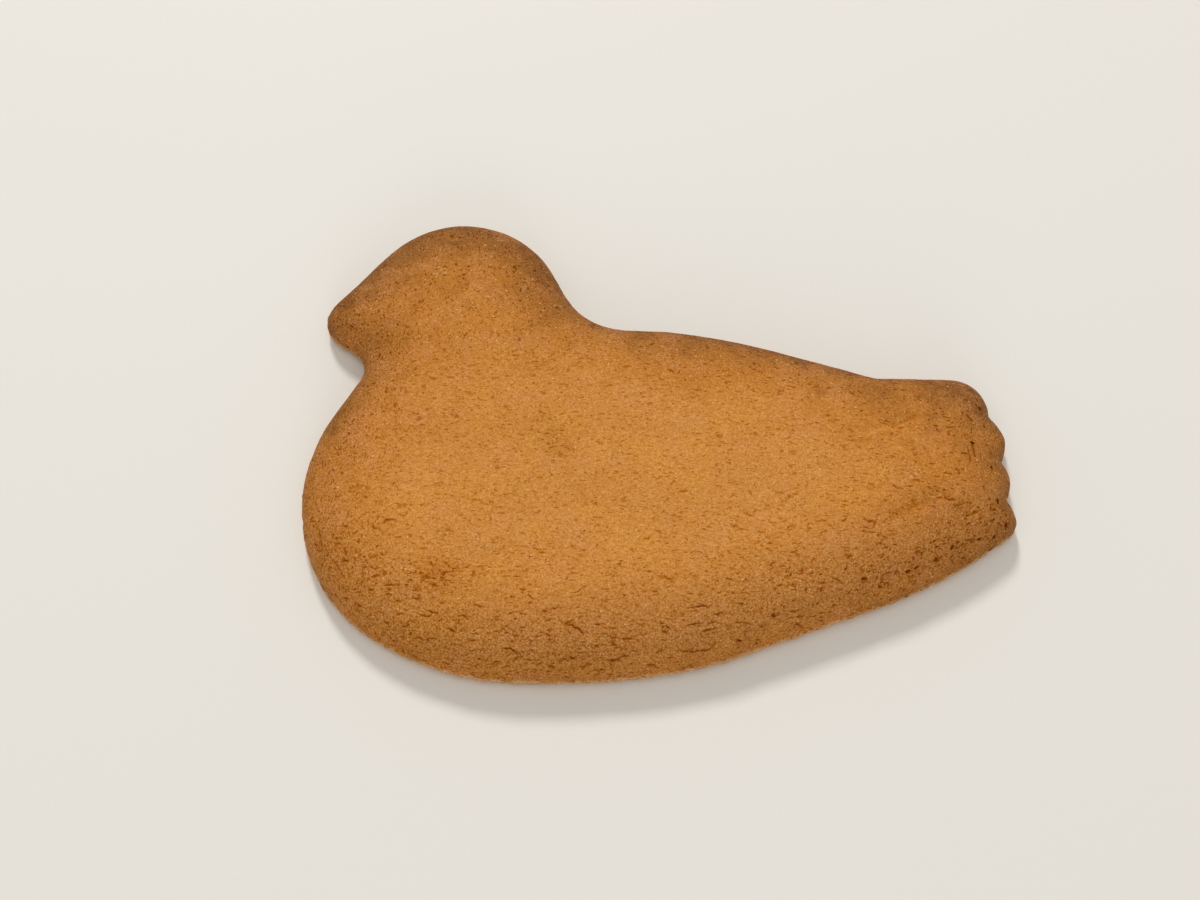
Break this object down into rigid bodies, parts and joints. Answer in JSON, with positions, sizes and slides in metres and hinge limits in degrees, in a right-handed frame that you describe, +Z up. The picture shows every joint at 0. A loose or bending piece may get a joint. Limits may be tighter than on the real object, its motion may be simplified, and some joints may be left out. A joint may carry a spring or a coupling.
{
  "type": "shortbread biscuit",
  "caption": "Thick bird-shaped shortbread biscuit with a domed, browned top, rounded edge, scalloped tail end and flat underside.",
  "frame": {"origin": "on the flat underside, in the middle of the outline's box", "axes": "+X from the breast towards the tail, along the biscuit's length; +Y from the belly towards the crown of the head; +Z up out of the domed top"},
  "size_m": [0.1186, 0.0848, 0.0104],
  "materials": {
    "biscuit": "matte baked crust, golden brown on top and darker towards the edges"
  },
  "bodies": {
    "root": {"biscuit": "biscuit"}
  },
  "joints": []
}
